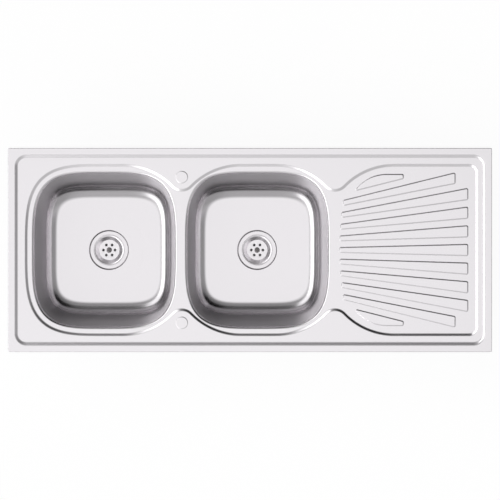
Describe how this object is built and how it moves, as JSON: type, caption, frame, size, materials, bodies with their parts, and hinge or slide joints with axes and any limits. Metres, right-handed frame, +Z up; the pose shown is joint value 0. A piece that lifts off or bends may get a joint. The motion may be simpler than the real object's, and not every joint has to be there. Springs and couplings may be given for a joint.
{
  "type": "inset kitchen sink",
  "caption": "Inset stainless steel kitchen sink with bowls side by side, strainer wastes and a ribbed drainer at one end.",
  "frame": {"origin": "middle of the rim's outline, at the height of the worktop surface that the rim seal lies on", "axes": "+X along the sink from the bowls towards the drainer, +Y towards the back, +Z up"},
  "size_m": [1.186, 0.5, 0.2215],
  "materials": {
    "pressed_steel": "satin pressed stainless steel sheet",
    "drawn_steel": "satin deep-drawn stainless steel",
    "polished_steel": "polished stainless steel",
    "zinc_plated_steel": "dull zinc-plated steel strip",
    "screw_steel": "plain steel screws",
    "insert_brass": "turned brass",
    "waste_plastic": "white moulded polypropylene",
    "gasket_rubber": "black moulded rubber",
    "seal_foam": "closed-cell foam strip",
    "damping_bitumen": "embossed bitumen sheet"
  },
  "bodies": {
    "sink": {"drainer_deck": "pressed_steel", "rim_seal": "seal_foam", "left_bowl": "drawn_steel", "left_damping_pad": "damping_bitumen", "left_strainer_flange": "polished_steel", "left_flange_gasket": "gasket_rubber", "left_waste_body": "waste_plastic", "left_body_gasket": "gasket_rubber", "left_waste_screw": "screw_steel", "left_waste_insert": "insert_brass", "right_bowl": "drawn_steel", "right_damping_pad": "damping_bitumen", "right_strainer_flange": "polished_steel", "right_flange_gasket": "gasket_rubber", "right_waste_body": "waste_plastic", "right_body_gasket": "gasket_rubber", "right_waste_screw": "screw_steel", "right_waste_insert": "insert_brass", "clip_bracket_1": "zinc_plated_steel", "clip_bracket_2": "zinc_plated_steel", "clip_bracket_3": "zinc_plated_steel", "clip_bracket_4": "zinc_plated_steel", "clip_bracket_5": "zinc_plated_steel", "clip_bracket_6": "zinc_plated_steel", "clip_bracket_7": "zinc_plated_steel", "clip_bracket_8": "zinc_plated_steel"},
    "clip_screw_1": {"clip_screw_1": "screw_steel"},
    "clip_claw_1": {"clip_claw_1": "zinc_plated_steel"},
    "clip_screw_2": {"clip_screw_2": "screw_steel"},
    "clip_claw_2": {"clip_claw_2": "zinc_plated_steel"},
    "clip_screw_3": {"clip_screw_3": "screw_steel"},
    "clip_claw_3": {"clip_claw_3": "zinc_plated_steel"},
    "clip_screw_4": {"clip_screw_4": "screw_steel"},
    "clip_claw_4": {"clip_claw_4": "zinc_plated_steel"},
    "clip_screw_5": {"clip_screw_5": "screw_steel"},
    "clip_claw_5": {"clip_claw_5": "zinc_plated_steel"},
    "clip_screw_6": {"clip_screw_6": "screw_steel"},
    "clip_claw_6": {"clip_claw_6": "zinc_plated_steel"},
    "clip_screw_7": {"clip_screw_7": "screw_steel"},
    "clip_claw_7": {"clip_claw_7": "zinc_plated_steel"},
    "clip_screw_8": {"clip_screw_8": "screw_steel"},
    "clip_claw_8": {"clip_claw_8": "zinc_plated_steel"}
  },
  "joints": [
    {"name": "clip_1_tighten", "type": "slide", "parent": "sink", "child": "clip_screw_1", "axis": [0, 0, 1], "range_m": [0, 0.02]},
    {"name": "clip_1_swing", "type": "hinge", "parent": "clip_screw_1", "child": "clip_claw_1", "pos_m": [-0.45, 0.2185, -0.0455], "axis": [0, 0, 1], "range_deg": [0, 90]},
    {"name": "clip_2_tighten", "type": "slide", "parent": "sink", "child": "clip_screw_2", "axis": [0, 0, 1], "range_m": [0, 0.02]},
    {"name": "clip_2_swing", "type": "hinge", "parent": "clip_screw_2", "child": "clip_claw_2", "pos_m": [-0.15, 0.2185, -0.0455], "axis": [0, 0, 1], "range_deg": [0, 90]},
    {"name": "clip_3_tighten", "type": "slide", "parent": "sink", "child": "clip_screw_3", "axis": [0, 0, 1], "range_m": [0, 0.02]},
    {"name": "clip_3_swing", "type": "hinge", "parent": "clip_screw_3", "child": "clip_claw_3", "pos_m": [0.15, 0.2185, -0.0455], "axis": [0, 0, 1], "range_deg": [0, 90]},
    {"name": "clip_4_tighten", "type": "slide", "parent": "sink", "child": "clip_screw_4", "axis": [0, 0, 1], "range_m": [0, 0.02]},
    {"name": "clip_4_swing", "type": "hinge", "parent": "clip_screw_4", "child": "clip_claw_4", "pos_m": [0.45, 0.2185, -0.0455], "axis": [0, 0, 1], "range_deg": [0, 90]},
    {"name": "clip_5_tighten", "type": "slide", "parent": "sink", "child": "clip_screw_5", "axis": [0, 0, 1], "range_m": [0, 0.02]},
    {"name": "clip_5_swing", "type": "hinge", "parent": "clip_screw_5", "child": "clip_claw_5", "pos_m": [-0.45, -0.2185, -0.0455], "axis": [0, 0, -1], "range_deg": [0, 90]},
    {"name": "clip_6_tighten", "type": "slide", "parent": "sink", "child": "clip_screw_6", "axis": [0, 0, 1], "range_m": [0, 0.02]},
    {"name": "clip_6_swing", "type": "hinge", "parent": "clip_screw_6", "child": "clip_claw_6", "pos_m": [-0.15, -0.2185, -0.0455], "axis": [0, 0, -1], "range_deg": [0, 90]},
    {"name": "clip_7_tighten", "type": "slide", "parent": "sink", "child": "clip_screw_7", "axis": [0, 0, 1], "range_m": [0, 0.02]},
    {"name": "clip_7_swing", "type": "hinge", "parent": "clip_screw_7", "child": "clip_claw_7", "pos_m": [0.15, -0.2185, -0.0455], "axis": [0, 0, -1], "range_deg": [0, 90]},
    {"name": "clip_8_tighten", "type": "slide", "parent": "sink", "child": "clip_screw_8", "axis": [0, 0, 1], "range_m": [0, 0.02]},
    {"name": "clip_8_swing", "type": "hinge", "parent": "clip_screw_8", "child": "clip_claw_8", "pos_m": [0.45, -0.2185, -0.0455], "axis": [0, 0, -1], "range_deg": [0, 90]}
  ]
}
